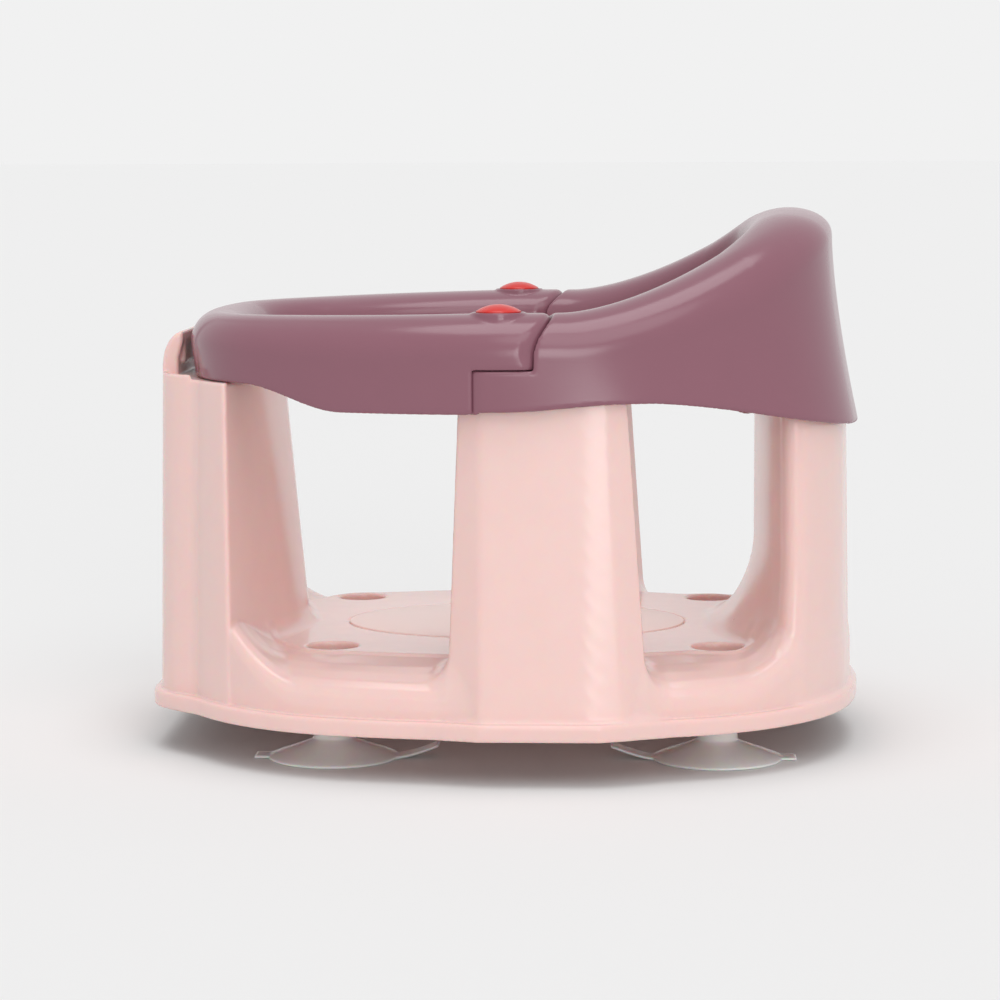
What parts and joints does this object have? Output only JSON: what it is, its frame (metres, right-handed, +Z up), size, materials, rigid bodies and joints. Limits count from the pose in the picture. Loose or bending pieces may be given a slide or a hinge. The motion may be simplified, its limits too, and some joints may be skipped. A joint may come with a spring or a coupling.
{
  "type": "baby bath seat",
  "caption": "Moulded baby bath seat with an open-sided base, a raised back ring, a front guard that lifts off when its push buttons are pressed, a seat pad and suction cups.",
  "frame": {"origin": "on the floor under the middle of the seat, at the height of the suction cups' rims", "axes": "+X from the front guard towards the backrest, +Z up, +Y to the seated child's left"},
  "size_m": [0.35, 0.32, 0.265],
  "materials": {
    "pink_plastic": "glossy moulded",
    "mauve_plastic": "glossy moulded",
    "red_plastic": "glossy moulded",
    "pad_rubber": "matt, soft",
    "cup_rubber": "smooth, slightly milky",
    "white_plastic": "satin moulded",
    "steel": "bright"
  },
  "bodies": {
    "base": {"seat_base": "pink_plastic", "seat_pad": "pad_rubber", "rear_ring": "mauve_plastic", "left_side_ring_screw": "steel", "left_rear_ring_screw": "steel", "right_side_ring_screw": "steel", "right_rear_ring_screw": "steel", "front_left_suction_cup": "cup_rubber", "front_right_suction_cup": "cup_rubber", "rear_left_suction_cup": "cup_rubber", "rear_right_suction_cup": "cup_rubber"},
    "guard": {"front_guard": "mauve_plastic", "left_button_spring": "steel", "left_latch_housing": "white_plastic", "left_latch_clip": "steel", "left_front_latch_screw": "steel", "left_rear_latch_screw": "steel", "right_button_spring": "steel", "right_latch_housing": "white_plastic", "right_latch_clip": "steel", "right_front_latch_screw": "steel", "right_rear_latch_screw": "steel"},
    "left_button": {"left_release_button": "red_plastic"},
    "right_button": {"right_release_button": "red_plastic"}
  },
  "joints": [
    {"name": "guard_lift", "type": "slide", "parent": "base", "child": "guard", "axis": [0, 0, 1], "range_m": [0, 0.1], "deforming": ["left_latch_clip", "right_latch_clip"]},
    {"name": "left_button_press", "type": "slide", "parent": "guard", "child": "left_button", "axis": [0, 0, -1], "range_m": [0, 0.0035], "stiffness_N_per_m": 600, "springref_m": -0.004, "deforming": ["left_button_spring", "left_latch_clip"]},
    {"name": "right_button_press", "type": "slide", "parent": "guard", "child": "right_button", "axis": [0, 0, -1], "range_m": [0, 0.0035], "stiffness_N_per_m": 600, "springref_m": -0.004, "deforming": ["right_button_spring", "right_latch_clip"]}
  ]
}
